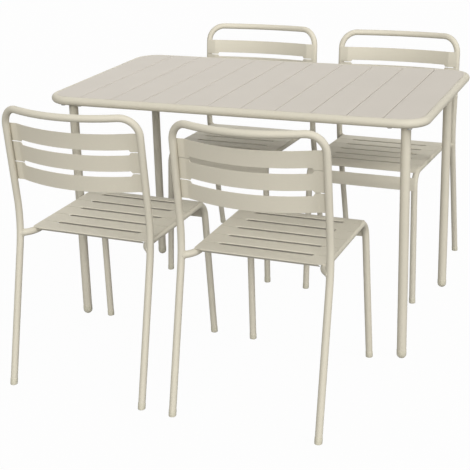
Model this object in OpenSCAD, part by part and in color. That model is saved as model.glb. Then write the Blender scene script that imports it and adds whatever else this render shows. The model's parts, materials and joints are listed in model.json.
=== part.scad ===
// Patio dining set: a table with a planked steel top and four armless chairs bent from steel tube.
// Millimetres. The origin is on the floor under the middle of the set's box, +X runs along the
// table, +Z is up, and chairs 1 and 2 stand on the -Y side. Each chair is drawn in its own frame:
// its origin on the floor midway between the rear feet, facing +Y.

/* [Table] */
// Length of the top over its rim
table_l = 1190; // [1150:5:1400]
// Width of the top over its rim
table_w = 715; // [680:5:850]
// Height of the top above the floor
table_h = 740; // [700:5:780]
// Diameter of the rim tube
rim_d = 25; // [22:0.5:30]
// Outer radius of the rim's corners, seen from above
rim_corner = 80; // [60:1:110]
// Sheet thickness of a plank
plank_t = 1.2; // [1:0.1:2]
// Height of a plank's folded edges below its face
plank_fold = 12; // [10:0.5:15]
// Gap between two planks
plank_gap = 2; // [1:0.5:4]
// Distance between the axes of the two rails under the planks
under_rail_span = 300; // [200:5:400]
// Width of a rail under the planks
under_rail_w = 25; // [20:1:40]
// Height of a rail under the planks
under_rail_h = 11; // [8:0.5:14]

/* [Table legs] */
// Diameter of a leg
leg_d = 28; // [25:0.5:32]
// Distance from the edge of the top to the axis of a leg
leg_inset = 69; // [66:1:90]
// Depth of the face that a leg bolts to, below the top
mount_drop = 24; // [20:1:30]
// Thickness of the plate that holds a leg
corner_t = 3; // [2:0.5:5]
// Thickness of the flange on a leg
flange_t = 4; // [3:0.5:6]
// Side of the square flange on a leg
flange_w = 76; // [74:1:84]
// Distance between two bolts of a leg
bolt_pitch = 56; // [52:1:60]
// Thread diameter of the leg bolts
bolt_d = 8; // [6:0.5:10]
// Height of a table foot cap
leg_cap_h = 26; // [22:1:40]
// Wall of a foot cap, on the table and on the chairs
cap_wall = 0.6; // [0.5:0.1:2]

/* [Chair frame] */
// Diameter of the chair tubes
tube_d = 20; // [18:0.5:22]
// Wall of the tubes
tube_wall = 1.2; // [1:0.1:2]
// Distance between the axes of the uprights
hoop_w = 416; // [400:1:440]
// Height of the axis of the top rail, at its corners
back_h = 805; // [780:1:840]
// Height of the knee, where the rear leg turns into the upright
knee_h = 460; // [445:1:480]
// How far the knee stands in front of the rear foot
knee_y = 105; // [85:1:120]
// How far the corner of the top rail stands in front of the rear foot
top_y = 68; // [40:1:80]
// Bend radius of the knee
knee_r = 450; // [200:5:600]
// Bend radius of the top corners
corner_r = 55; // [40:1:80]
// Angle of the bowed top rail at its ends
bow_angle = 20; // [10:0.5:24]
// Distance from the axis of an upright to the axis of its seat rail, seen from the front
rail_inset = 30; // [26:1:38]
// Height of the corner between a seat rail and its front leg, on their axes
seat_rail_h = 439; // [430:1:450]
// Drop of a seat rail from front to rear
seat_drop = 9; // [0:1:15]
// How far the front of a seat rail stands in front of the rear foot
seat_front_y = 501; // [470:1:530]
// How far a front foot stands in front of a rear foot
foot_front_y = 527; // [505:1:550]
// Distance from the axis of an upright to the axis of a front foot, seen from the front
foot_inset = 21.5; // [14:0.5:26]
// Bend radius of the front corners
front_r = 48; // [40:1:60]
// Bend radius at the rear of a seat rail
stub_r = 60; // [45:1:65]
// Angle at which a seat rail turns out to the upright
stub_angle = 55; // [50:1:60]
// Height of a chair foot cap
foot_cap_h = 17; // [14:1:24]

/* [Chair sheet metal] */
// Sheet thickness of the back slats, seat slats and apron
sheet_t = 1.5; // [1.2:0.1:2.5]
// Height of a back slat
slat_h = 45.5; // [40:0.5:50]
// Gap between two back slats
slat_gap = 15; // [10:0.5:20]
// Distance from the axis of the top rail to the first back slat
slat_top_gap = 51; // [36:1:66]
// Bow of the back slats
slat_bow = 35; // [15:1:45]
// Distance from the axis of an upright to the fold of a back slat
slat_fold = 27; // [20:1:35]
// Distance from the axis of an upright to the gap between two back slats
slat_ear = 43; // [38:1:60]
// Width of the slits between the ends of the slats, on the back and on the seat
slit_w = 2.2; // [1.5:0.1:4]
// Width of the slots in the seat
slot_w = 11; // [8:0.5:14]
// Distance from the end of a seat slat to its slot
slot_inset = 55; // [40:1:70]
// Distance from the front bend to the first slot
slot_front = 20.5; // [15:0.5:30]
// Distance from the axis of an upright to the rear edge of the seat
seat_back_gap = 28; // [24:1:40]
// How far a seat slat reaches past the axis of its rail
slat_over = 8; // [5:0.5:9]
// Height of the lips under the seat, at its rear edge and along its slots
lip_h = 6; // [4:0.5:10]
// Radius of the rear corners of the seat
seat_corner_r = 12; // [8:1:16]
// Angle over which the front slat wraps round the front bend
wrap_angle = 39; // [25:1:42]
// Gap between the front slat and the apron, along the bend
apron_gap = 19; // [12:1:22]
// Length of the apron's flat part below the bend
apron_flat = 11; // [8:1:30]

/* [Chair places] */
// Share of the free length between the table legs that each chair leaves on its leg's side
side_share = [0.172, 0.406, 0.428, 0.089]; // [0:0.001:0.5]
// How far the front feet of each chair stand inside the edge of the table
tuck = [70, 50, 210, 232]; // [0:1:240]
// Small turn of each chair away from square
turn = [-2, -1.4, -1.1, -1.7]; // [-3:0.1:3]

/* [Hidden] */
plank_count = 11;
slat_count = 3;
flat_slats = 5;
BACK_SLATS = ["top", "middle", "bottom"];
SIDES = ["left", "right"];

paint = "#c9c3b3";
paint_top = "#cdc7bc";
cap_colour = "#c2bcac";
$fn = 48;
fine_fn = 360;

// A bend sits this much inside the straight runs that it joins, and laps into them.
bend_thin = 0.05;
bend_lap = 0.4;

rim_r = rim_d / 2;
leg_r = leg_d / 2;
tube_r = tube_d / 2;
leg_cap_r = leg_r + cap_wall;
leg_cap_flat = 5;
leg_cap_floor = 13;
foot_cap_r = tube_r + cap_wall;
foot_cap_floor = 6;
foot_chamfer = 2;

leg_x = table_l / 2 - leg_inset;
leg_y = table_w / 2 - leg_inset;
rim_z = table_h - rim_r;
mount_z = table_h - mount_drop;
flange_shift = [-11, 3];
flange_corner = 8;
bolt_play = 0.8;
bolt_head_w = 1.85 * bolt_d;
bolt_head_h = 0.65 * bolt_d;
bolt_end = 3;
// The corner plate reaches this far past the leg's axis, towards the middle of the table.
corner_reach = bolt_pitch / 2 - flange_shift.x + 1.5 * bolt_d;

// A plank's edge rests on the rim, with its face level with the top of the rim.
plank_inset = rim_r + sqrt(pow(rim_r, 2) - pow(rim_r - plank_t, 2));
plank_pitch = (table_l - 2 * plank_inset) / plank_count;
fold_clear = 2;
fold_inset = rim_d + fold_clear;
plank_bottom = table_h - plank_t - plank_fold;

hoop_x = hoop_w / 2;
rail_x = hoop_x - rail_inset;
foot_x = hoop_x - foot_inset;
back_lean = atan((knee_y - top_y) / (back_h - knee_h));
bow_depth = hoop_x * tan(bow_angle);
bow_straight = 4;
bow_r = (hoop_x / cos(bow_angle) - corner_r - bow_straight) / tan(bow_angle);

hoop_foot = [hoop_x, 0, 0];
hoop_knee = [hoop_x, knee_y, knee_h];
hoop_top = [hoop_x, top_y, back_h];
hoop_middle = [0, top_y - bow_depth * cos(back_lean), back_h - bow_depth * sin(back_lean)];

// Side tube: front foot, front corner, rear corner and the end of the stub. The stub stops a
// little short of the upright's axis, so that its saddle ends in no thin tongues.
stub_short = 2;
front_foot = [foot_x, foot_front_y, 0];
front_corner = [rail_x, seat_front_y, seat_rail_h];
stub_z = seat_rail_h - seat_drop;
stub_y = hoop_axis_y(stub_z);
stub_end = [hoop_x - stub_short * sin(stub_angle), stub_y + stub_short * cos(stub_angle), stub_z];
rear_corner = [rail_x, stub_y + rail_inset / tan(stub_angle), stub_z];

seat_angle = atan(seat_drop / (front_corner.y - rear_corner.y));
front_lean = atan((foot_front_y - seat_front_y) / seat_rail_h);
front_turn = 90 - front_lean + seat_angle;
front_trim = front_r * tan(front_turn / 2);
bend_out_r = front_r + tube_r;
plate_x = rail_x + slat_over;
slot_x = plate_x - slot_inset;
lip_gap = 3;
lip_x = rail_x - tube_r - lip_gap;
seat_run = (front_corner.y - stub_y - seat_back_gap) / cos(seat_angle) - front_trim;
seat_pitch = (seat_run - slot_front + slot_w / 2) / flat_slats;
apron_start = wrap_angle + apron_gap / bend_out_r * 180 / PI;
apron_x = rail_x + 4;

slat_fold_x = hoop_x - slat_fold;
slat_back_r = (pow(slat_fold_x, 2) + pow(slat_bow, 2)) / (2 * slat_bow);
slat_tab_over = 2;
slat_pitch = slat_h + slat_gap;
step_in = (slat_gap - slit_w) / 2;
seat_step = (slot_w - slit_w) / 2;

// Length between two table legs that two chairs side by side leave free.
free_length = 2 * leg_x - 4 * (hoop_x + tube_r);

// Chairs 1 and 2 stand at the front, 3 and 4 at the rear and turned round.
function chair_side(c) = c == 1 || c == 3 ? -1 : 1;
function chair_front(c) = c <= 2 ? -1 : 1;
function chair_x(c) = chair_side(c) * (leg_x - hoop_x - tube_r - side_share[c - 1] * free_length);
function chair_y(c) = chair_front(c) * (table_w / 2 + foot_front_y - tuck[c - 1]);
function chair_turn(c) = turn[c - 1] + (chair_front(c) > 0 ? 180 : 0);

// The set's box ends at the rear feet of the chairs that stand farthest out, one on each side.
function chair_reach(c) = abs(chair_y(c)) + hoop_x * sin(abs(turn[c - 1]));
middle_y = (max(chair_reach(3), chair_reach(4)) - max(chair_reach(1), chair_reach(2))) / 2;

function unit(v) = v / norm(v);
function mirror_x(v) = [-v.x, v.y, v.z];
function after(p, i) = p[(i + 1) % len(p)];
function before(p, i) = p[(i + len(p) - 1) % len(p)];
// Angle of the bend at point i, and the length that the bend takes off the run on each side.
function bend_angle(p, i) = acos(unit(p[i] - before(p, i)) * unit(after(p, i) - p[i]));
function bend_trim(p, radii, i) = radii[i] == 0 ? 0 : radii[i] * tan(bend_angle(p, i) / 2);
function lap_angle(r) = bend_lap / r * 180 / PI;
// Direction across run i, in the plane of the bend at its start or its end, away from that bend.
function run_side(p, radii, i, d) =
    let (
        a = p[i] - before(p, i),
        j = (i + 1) % len(p),
        b = p[j] - after(p, j)
    )
    radii[i] > 0 ? unit(a - (a * d) * d)
        : radii[j] > 0 ? unit(b - (b * d) * d)
        : unit(cross(d, [1, 0, 0]));
// The point on a leg's axis where its tube starts, inside the foot cap.
function tube_start(foot, next) = foot + unit(next - foot) * foot_cap_floor;

// Distance of the upright's axis in front of the rear foot at height z, round the knee bend.
function hoop_axis_y(z) =
    let (
        up = unit([knee_y, knee_h]),
        back = unit([top_y - knee_y, back_h - knee_h]),
        half = acos(up * back) / 2,
        trim = knee_r * tan(half),
        centre = [knee_y, knee_h] + unit(back - up) * knee_r / cos(half)
    )
    z < knee_h - trim * up.y ? z * knee_y / knee_h :
    z > knee_h + trim * back.y ? knee_y + (z - knee_h) * back.x / back.y :
    centre.x + sqrt(pow(knee_r, 2) - pow(z - centre.y, 2));

module placed(o, ex, ey, ez)
    multmatrix([[ex.x, ey.x, ez.x, o.x], [ex.y, ey.y, ez.y, o.y], [ex.z, ey.z, ez.z, o.z]])
        children();

// Section of a tube, or of a solid bar where the wall is 0.
module tube_section(r, wall)
    difference() {
        circle(r);
        if (wall > 0) circle(r - wall);
    }

// A bent tube: straight runs between the points, with a bend at each point that has a radius.
module bent_tube(p, radii, r, wall, closed = false) {
    for (i = [0 : len(p) - (closed ? 1 : 2)]) {
        d = unit(after(p, i) - p[i]);
        side = run_side(p, radii, i, d);
        start = p[i] + d * bend_trim(p, radii, i);
        run = norm(after(p, i) - start) - bend_trim(p, radii, (i + 1) % len(p));
        placed(start, side, cross(d, side), d)
            linear_extrude(run) tube_section(r, wall);
    }
    for (i = [0 : len(p) - 1])
        if (radii[i] > 0) {
            a = unit(p[i] - before(p, i));
            b = unit(after(p, i) - p[i]);
            angle = bend_angle(p, i);
            centre = p[i] + unit(b - a) * radii[i] / cos(angle / 2);
            out = unit(p[i] - a * bend_trim(p, radii, i) - centre);
            placed(centre, out, a, cross(out, a))
                rotate([0, 0, -lap_angle(radii[i])])
                    rotate_extrude(angle = angle + 2 * lap_angle(radii[i]), $fn = fine_fn)
                        translate([radii[i], 0])
                            tube_section(r - bend_thin, wall - 2 * bend_thin);
        }
}

// ---- table ----

// The top's outline, moved in by inset all round.
module top_outline(inset) {
    l = table_l - 2 * inset;
    w = table_w - 2 * inset;
    r = rim_corner - inset;
    square([l - 2 * r, w], center = true);
    square([l, w - 2 * r], center = true);
    for (x = [-1, 1])
        for (y = [-1, 1])
            translate([x * (l / 2 - r), y * (w / 2 - r)]) circle(r, $fn = fine_fn);
}

module rim_tube(wall) {
    x = table_l / 2 - rim_r;
    y = table_w / 2 - rim_r;
    r = rim_corner - rim_r;
    corners = [[x, y, rim_z], [-x, y, rim_z], [-x, -y, rim_z], [x, -y, rim_z]];
    bent_tube(corners, [r, r, r, r], rim_r, wall, closed = true);
}

module top_rim() color(paint) rim_tube(tube_wall);

// A strip across the table, from one X to another.
module strip(from, to)
    translate([from, -table_w / 2]) square([to - from, table_w]);

module plank(k) {
    end = table_l / 2 - plank_inset;
    fold_end = table_l / 2 - fold_inset;
    from = k == 1 ? -end : -end + (k - 1) * plank_pitch + plank_gap / 2;
    to = k == plank_count ? end : -end + k * plank_pitch - plank_gap / 2;
    fold_from = max(from, -fold_end);
    fold_to = min(to, fold_end);
    color(paint_top) {
        translate([0, 0, table_h - plank_t])
            linear_extrude(plank_t)
                intersection() {
                    strip(from, to);
                    top_outline(plank_inset);
                }
        translate([0, 0, plank_bottom])
            linear_extrude(plank_fold)
                intersection() {
                    difference() {
                        strip(fold_from, fold_to);
                        strip(fold_from + plank_t, fold_to - plank_t);
                    }
                    top_outline(fold_inset);
                }
    }
}

// Box-section rail under the planks, shaped to the rim at both ends.
module under_rail(side)
    color(paint)
        difference() {
            translate([0, side * under_rail_span / 2, plank_bottom - under_rail_h / 2])
                difference() {
                    cube([table_l - rim_d, under_rail_w, under_rail_h], center = true);
                    cube([table_l, under_rail_w - 2 * tube_wall, under_rail_h - 2 * tube_wall],
                        center = true);
                }
            rim_tube(0);
        }

function leg_side(k) = [k == 1 || k == 3 ? -1 : 1, k <= 2 ? -1 : 1];

// Puts children on a table leg's axis, with +X and +Y towards the edges of the top.
module at_leg(k) {
    s = leg_side(k);
    translate([s.x * leg_x, s.y * leg_y])
        mirror([s.x < 0 ? 1 : 0, 0, 0])
            mirror([0, s.y < 0 ? 1 : 0, 0])
                children();
}

module bolt_places()
    for (x = [-1, 1])
        for (y = [-1, 1])
            translate([flange_shift.x + x * bolt_pitch / 2, flange_shift.y + y * bolt_pitch / 2])
                children();

module rounded_square(w, r) {
    square([w - 2 * r, w], center = true);
    square([w, w - 2 * r], center = true);
    for (x = [-1, 1])
        for (y = [-1, 1])
            translate([x * (w / 2 - r), y * (w / 2 - r)]) circle(r);
}

// A leg tube with the flange that bolts it to its corner plate.
module table_leg(k)
    color(paint)
        at_leg(k) {
            translate([0, 0, leg_cap_floor])
                linear_extrude(mount_z - flange_t - leg_cap_floor)
                    tube_section(leg_r, tube_wall);
            translate([0, 0, mount_z - flange_t])
                linear_extrude(flange_t)
                    difference() {
                        translate(flange_shift) rounded_square(flange_w, flange_corner);
                        bolt_places() circle((bolt_d + bolt_play) / 2);
                    }
        }

// Plate welded into a corner of the rim, with tapped holes for the leg bolts.
module corner_plate(k)
    color(paint)
        difference() {
            translate([0, 0, mount_z])
                linear_extrude(corner_t)
                    difference() {
                        intersection() {
                            top_outline(rim_r);
                            at_leg(k) translate([-corner_reach, -corner_reach])
                                square(corner_reach + leg_inset);
                        }
                        at_leg(k) bolt_places() circle(bolt_d / 2);
                    }
            rim_tube(0);
        }

module leg_bolts()
    color(cap_colour)
        for (k = [1 : 4])
            at_leg(k) bolt_places() {
                translate([0, 0, mount_z - flange_t])
                    cylinder(r = bolt_d / 2, h = flange_t + corner_t + bolt_end);
                translate([0, 0, mount_z - flange_t - bolt_head_h])
                    cylinder(r = bolt_head_w / 2, h = bolt_head_h, $fn = 6);
            }

// Domed cap over the end of a table leg, with a small flat to stand on.
module leg_caps() {
    dome_z = sqrt(pow(leg_cap_r, 2) - pow(leg_cap_flat, 2));
    color(cap_colour)
        for (k = [1 : 4])
            at_leg(k) rotate_extrude()
                difference() {
                    intersection() {
                        union() {
                            translate([0, dome_z]) circle(leg_cap_r);
                            translate([0, dome_z]) square([leg_cap_r, leg_cap_h - dome_z]);
                        }
                        square([leg_cap_r, leg_cap_h]);
                    }
                    translate([0, leg_cap_floor]) square([leg_r, leg_cap_h]);
                }
}

// ---- chairs ----

module at_chair(c)
    translate([chair_x(c), chair_y(c), 0]) rotate([0, 0, chair_turn(c)]) children();

// One tube makes both rear legs, both uprights and the bowed top rail.
module hoop_tube(wall)
    bent_tube(
        [
            tube_start(hoop_foot, hoop_knee), hoop_knee, hoop_top, hoop_middle,
            mirror_x(hoop_top), mirror_x(hoop_knee),
            mirror_x(tube_start(hoop_foot, hoop_knee))
        ],
        [0, knee_r, corner_r, bow_r, corner_r, knee_r, 0], tube_r, wall
    );

module back_hoop() color(paint) hoop_tube(tube_wall);

// One tube makes a front leg, a seat rail and the stub that is welded to the rear leg.
module side_tube(side)
    color(paint)
        mirror([side == "left" ? 1 : 0, 0, 0])
            difference() {
                bent_tube(
                    [tube_start(front_foot, front_corner), front_corner, rear_corner, stub_end],
                    [0, front_r, stub_r, 0], tube_r, tube_wall
                );
                bent_tube([hoop_foot, hoop_knee, hoop_top], [0, knee_r, 0], tube_r, 0);
            }

// Puts children at the knee, with +Z up along the upright and +Y to the front.
module on_back()
    translate([0, knee_y, knee_h]) rotate([back_lean, 0, 0]) children();

// Plan of a back slat: a bowed middle and flat tabs that lap the front of the uprights.
module slat_plan() {
    middle = slat_fold_x + sheet_t;
    tab_start = slat_fold_x - bend_lap;
    tab_end = hoop_x + slat_tab_over;
    intersection() {
        translate([0, tube_r - slat_bow + slat_back_r])
            difference() {
                circle(slat_back_r, $fn = fine_fn);
                circle(slat_back_r - sheet_t, $fn = fine_fn);
            }
        translate([-middle, -slat_back_r])
            square([2 * middle, slat_back_r + tube_r + sheet_t - bend_thin]);
    }
    for (x = [-1, 1])
        translate([x * (tab_start + tab_end) / 2, tube_r + sheet_t / 2])
            square([tab_end - tab_start, sheet_t], center = true);
}

// Cuts the long edge of a slat back by depth between its ends, with sloping shoulders.
module edge_cut(half, depth)
    polygon([[-half - depth, 0], [-half, depth], [half, depth], [half + depth, 0]]);

// Outline of a slat, cut back between its ends on the edges that face another slat.
module slat_outline(half, window, low, high, step, cut_low, cut_high)
    difference() {
        translate([-half, low]) square([2 * half, high - low]);
        if (cut_low) translate([0, low]) edge_cut(window, step);
        if (cut_high) translate([0, high]) mirror([0, 1]) edge_cut(window, step);
    }

module back_slat(i) {
    half = hoop_x + slat_tab_over;
    top = (back_h - knee_h) / cos(back_lean) - slat_top_gap - i * slat_pitch;
    low = top - slat_h - (i < slat_count - 1 ? step_in : 0);
    high = top + (i > 0 ? step_in : 0);
    color(paint)
        on_back() intersection() {
            translate([0, 0, low - sheet_t]) linear_extrude(high - low + 2 * sheet_t) slat_plan();
            rotate([90, 0, 0])
                linear_extrude(4 * slat_bow, center = true)
                    slat_outline(half + 1, hoop_x - slat_ear, low, high, step_in,
                        i < slat_count - 1, i > 0);
        }
}

// Puts children where the seat rail's axis meets the front bend, with +Y along the rail.
module on_seat()
    translate([0, front_corner.y, front_corner.z])
        rotate([seat_angle, 0, 0])
            translate([0, -front_trim, 0])
                children();

// Outline of a seat slat between two distances behind the front bend.
module seat_slat_outline(front, rear, cut_front, cut_rear)
    slat_outline(plate_x, slot_x, -rear, -front, seat_step, cut_rear, cut_front);

// Plan of the lip along a slot, where the slat's own edge lies at zero.
module slot_lip()
    translate([-slot_x, seat_step]) square([2 * slot_x, sheet_t]);

// Lips of a seat slat between two distances behind the front bend.
module seat_slat_lips(front, rear, cut_front, cut_rear)
    translate([0, 0, tube_r - lip_h])
        linear_extrude(lip_h) {
            if (cut_rear) translate([0, -rear]) slot_lip();
            if (cut_front) translate([0, -front]) mirror([0, 1]) slot_lip();
        }

// Square corner less its round, at the rear left or right of the seat.
module seat_corner_cut(x)
    translate([x * (plate_x - seat_corner_r), seat_corner_r - seat_run])
        difference() {
            translate([x > 0 ? 0 : -seat_corner_r, -seat_corner_r]) square(seat_corner_r);
            circle(seat_corner_r);
        }

// Sheet that follows the front bend between two angles, as a profile in its Y-Z plane.
module bend_sheet(from, to) {
    reach = 2 * bend_out_r;
    difference() {
        circle(bend_out_r + sheet_t, $fn = fine_fn);
        circle(bend_out_r, $fn = fine_fn);
        rotate(-from) translate([-reach, -reach]) square([reach, 2 * reach]);
        rotate(-to) translate([0, -reach]) square([reach, 2 * reach]);
        rotate(-to) translate([-reach, -reach]) square([2 * reach, reach]);
    }
}

// Turns a profile drawn in Y and Z into a sheet that runs along X, centred.
module along_x(half)
    rotate([90, 0, 90]) linear_extrude(2 * half, center = true) children();

function slot_y(i) = slot_front + i * seat_pitch;

// Five flat slats, and a front slat that wraps round the front bend.
module seat_slats()
    color(paint)
        on_seat() {
            for (i = [0 : flat_slats - 1]) {
                last = i == flat_slats - 1;
                front = slot_y(i) + slit_w / 2;
                rear = last ? seat_run : slot_y(i + 1) - slit_w / 2;
                translate([0, 0, tube_r])
                    linear_extrude(sheet_t)
                        difference() {
                            seat_slat_outline(front, rear, true, !last);
                            if (last)
                                for (x = [-1, 1]) seat_corner_cut(x);
                        }
                seat_slat_lips(front, rear, true, !last);
            }
            translate([-lip_x, -seat_run, tube_r - lip_h]) cube([2 * lip_x, sheet_t, lip_h]);
            front_slat_rear = slot_y(0) - slit_w / 2;
            translate([0, 0, tube_r])
                linear_extrude(sheet_t)
                    seat_slat_outline(0, front_slat_rear, false, true);
            seat_slat_lips(0, front_slat_rear, false, true);
            along_x(plate_x) translate([0, -front_r]) bend_sheet(0, wrap_angle);
        }

// Sheet across the front legs, bent round the lower half of the front bend.
module apron()
    color(paint)
        on_seat()
            along_x(apron_x)
                translate([0, -front_r]) {
                    bend_sheet(apron_start, front_turn);
                    rotate(-front_turn) translate([0, bend_out_r]) square([apron_flat, sheet_t]);
                }

// Cap on a chair foot: it follows the tilt of its tube and stands flat on the floor.
module foot_cap(foot, next) {
    d = unit(next - foot);
    side = unit(cross(d, [1, 0, 0]));
    cone_h = 3 * foot_cap_h;
    intersection() {
        placed(foot, side, cross(d, side), d)
            difference() {
                translate([0, 0, -foot_cap_h]) cylinder(r = foot_cap_r, h = 2 * foot_cap_h);
                translate([0, 0, foot_cap_floor]) cylinder(r = tube_r, h = foot_cap_h);
            }
        translate(foot)
            cylinder(r1 = foot_cap_r - foot_chamfer, r2 = foot_cap_r - foot_chamfer + cone_h,
                h = cone_h);
    }
}

module foot_caps()
    color(cap_colour)
        for (side = [0, 1])
            mirror([side, 0, 0]) {
                foot_cap(hoop_foot, hoop_knee);
                foot_cap(front_foot, front_corner);
            }

// ---- the set ----

// Moves the set so that its box is centred on the origin.
module centred() translate([0, -middle_y, 0]) children();

centred() top_rim();
centred() under_rail(-1);  // under_rail_front
centred() under_rail(1);  // under_rail_rear
centred() leg_bolts();
centred() leg_caps();

for (k = [1 : plank_count])
    centred() plank(k);

for (k = [1 : 4]) {
    centred() table_leg(k);
    centred() corner_plate(k);
}

for (c = [1 : 4]) {
    centred() at_chair(c) back_hoop();
    centred() at_chair(c) seat_slats();
    centred() at_chair(c) apron();
    centred() at_chair(c) foot_caps();
    for (side = SIDES)
        centred() at_chair(c) side_tube(side);
    for (i = [0 : slat_count - 1])
        centred() at_chair(c) back_slat(i);
}
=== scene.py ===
import json
import math

import bmesh
import bpy
from bpy.props import FloatProperty, FloatVectorProperty, IntProperty, PointerProperty
from mathutils import Euler, Matrix, Vector
from mathutils.bvhtree import BVHTree

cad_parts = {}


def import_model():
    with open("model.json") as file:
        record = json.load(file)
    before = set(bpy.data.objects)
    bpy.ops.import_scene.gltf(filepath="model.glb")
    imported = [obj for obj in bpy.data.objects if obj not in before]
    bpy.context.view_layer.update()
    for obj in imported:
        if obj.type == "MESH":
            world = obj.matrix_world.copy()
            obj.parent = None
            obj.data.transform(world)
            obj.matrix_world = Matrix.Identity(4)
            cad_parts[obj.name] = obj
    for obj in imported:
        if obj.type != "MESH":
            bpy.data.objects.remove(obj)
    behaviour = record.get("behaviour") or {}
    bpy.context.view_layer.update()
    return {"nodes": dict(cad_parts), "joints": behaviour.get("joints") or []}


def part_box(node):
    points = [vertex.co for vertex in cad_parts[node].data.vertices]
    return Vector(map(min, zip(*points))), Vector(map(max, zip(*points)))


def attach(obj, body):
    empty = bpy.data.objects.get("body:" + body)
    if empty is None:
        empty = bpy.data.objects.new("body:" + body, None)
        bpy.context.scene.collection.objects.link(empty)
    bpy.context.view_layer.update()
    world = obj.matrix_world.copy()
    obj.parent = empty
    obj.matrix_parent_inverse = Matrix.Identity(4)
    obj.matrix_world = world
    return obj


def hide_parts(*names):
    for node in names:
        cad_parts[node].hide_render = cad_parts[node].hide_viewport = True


bl_info = {
    "name": "Patio Dining Set",
    "version": (1, 0, 0),
    "blender": (4, 5, 0),
    "location": "3D View > Sidebar > Patio Set",
    "description": "Dresses the frame of a steel patio table and its four chairs",
    "category": "Object",
}

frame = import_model()

# ---- sizes of the frame, in millimetres ----

MM = 0.001
CHAIRS = (1, 2, 3, 4)
LEGS = (1, 2, 3, 4)
SIDES = {"left": -1, "right": 1}
CORNERS = ((1, 1), (-1, 1), (-1, -1), (1, -1))
BACK_SLATS = ("top", "middle", "bottom")

RIM_D = 25
RIM_CORNER = 80
PLANK_T = 1.2
PLANK_FOLD = 12
PLANK_GAP = 2
PLANK_COUNT = 11
FOLD_INSET = RIM_D + 2
RAIL_SPAN = 300
RAIL_W = 25
RAIL_H = 11
LEG_D = 28
LEG_INSET = 69
MOUNT_DROP = 24
CORNER_T = 3
FLANGE_T = 4
FLANGE_W = 76
FLANGE_CORNER = 8
FLANGE_EDGE = 0.6
FLANGE_SHIFT_X = -11
FLANGE_SHIFT_Y = 3
BOLT_PITCH = 56
BOLT_D = 8
CAP_WALL = 0.6
LEG_CAP_H = 26
LEG_CAP_FLOOR = 13
LEG_CAP_FLAT = 5

TUBE_D = 20
HOOP_W = 416
BACK_H = 805
KNEE_H = 460
KNEE_Y = 105
TOP_Y = 68
KNEE_R = 450
CORNER_R = 55
BOW_ANGLE = math.radians(20)
BOW_STRAIGHT = 4
RAIL_INSET = 30
FOOT_INSET = 21.5
SEAT_RAIL_H = 439
SEAT_DROP = 9
SEAT_FRONT_Y = 501
FOOT_FRONT_Y = 527
FRONT_R = 48
STUB_R = 60
STUB_ANGLE = math.radians(55)
STUB_SHORT = 2
FOOT_CAP_H = 17
FOOT_CAP_FLOOR = 6

SHEET_T = 1.5
SLAT_H = 45.5
SLAT_GAP = 15
SLAT_TOP_GAP = 51
SLAT_BOW = 35
SLAT_FOLD = 27
SLAT_EAR = 43
SLAT_TAB_OVER = 2
SLIT_W = 2.2
SLOT_W = 11
SLOT_INSET = 55
SLOT_FRONT = 20.5
SEAT_BACK_GAP = 28
SLAT_OVER = 8
LIP_GAP = 3
SEAT_CORNER_R = 12
WRAP_ANGLE = math.radians(39)
APRON_GAP = 19
APRON_FLAT = 11
APRON_OVER = 4
FLAT_SLATS = 5

RIM_R = RIM_D / 2
TUBE_R = TUBE_D / 2
LEG_R = LEG_D / 2
HOOP_X = HOOP_W / 2
RAIL_X = HOOP_X - RAIL_INSET

RIM_LOW, RIM_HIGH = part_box("top_rim")
TABLE_MIDDLE = (RIM_LOW + RIM_HIGH) / 2
TABLE_L, TABLE_W = ((RIM_HIGH - RIM_LOW) / MM).xy
TABLE_H = RIM_HIGH.z / MM
RIM_Z = TABLE_H - RIM_R
MOUNT_Z = TABLE_H - MOUNT_DROP
FLANGE_Z = MOUNT_Z - FLANGE_T
FLANGE_MIDDLE = Vector((FLANGE_SHIFT_X, FLANGE_SHIFT_Y, FLANGE_Z))
LEG_X = TABLE_L / 2 - LEG_INSET
LEG_Y = TABLE_W / 2 - LEG_INSET


def rim_inside(z):
    """How far the inside of the rim's tube lies from the edge of the table at a height."""
    return RIM_R + math.sqrt(max(RIM_R**2 - (RIM_Z - z) ** 2, 0))


PLANK_INSET = rim_inside(TABLE_H - PLANK_T)
PLANK_PITCH = (TABLE_L - 2 * PLANK_INSET) / PLANK_COUNT
PLANK_BOTTOM = TABLE_H - PLANK_T - PLANK_FOLD

BACK_LEAN = math.atan((KNEE_Y - TOP_Y) / (BACK_H - KNEE_H))
BACK_TOP = (BACK_H - KNEE_H) / math.cos(BACK_LEAN) - SLAT_TOP_GAP
BOW_DEPTH = HOOP_X * math.tan(BOW_ANGLE)
BOW_R = (HOOP_X / math.cos(BOW_ANGLE) - CORNER_R - BOW_STRAIGHT) / math.tan(BOW_ANGLE)
BEND_OUT_R = FRONT_R + TUBE_R
STUB_Z = SEAT_RAIL_H - SEAT_DROP

# What counts as the same place, in millimetres.
NEAR = 1e-6


# ---- places ----


def table_place():
    """From the table's own millimetres, from the floor under its middle, to the shared frame."""
    middle = Vector((TABLE_MIDDLE.x, TABLE_MIDDLE.y, 0))
    return Matrix.Translation(middle) @ Matrix.Scale(MM, 4)


def middle_along(points, direction):
    """The middle of the points' reach along a direction."""
    reach = [point.dot(direction) for point in points]
    return (min(reach) + max(reach)) / 2


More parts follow.
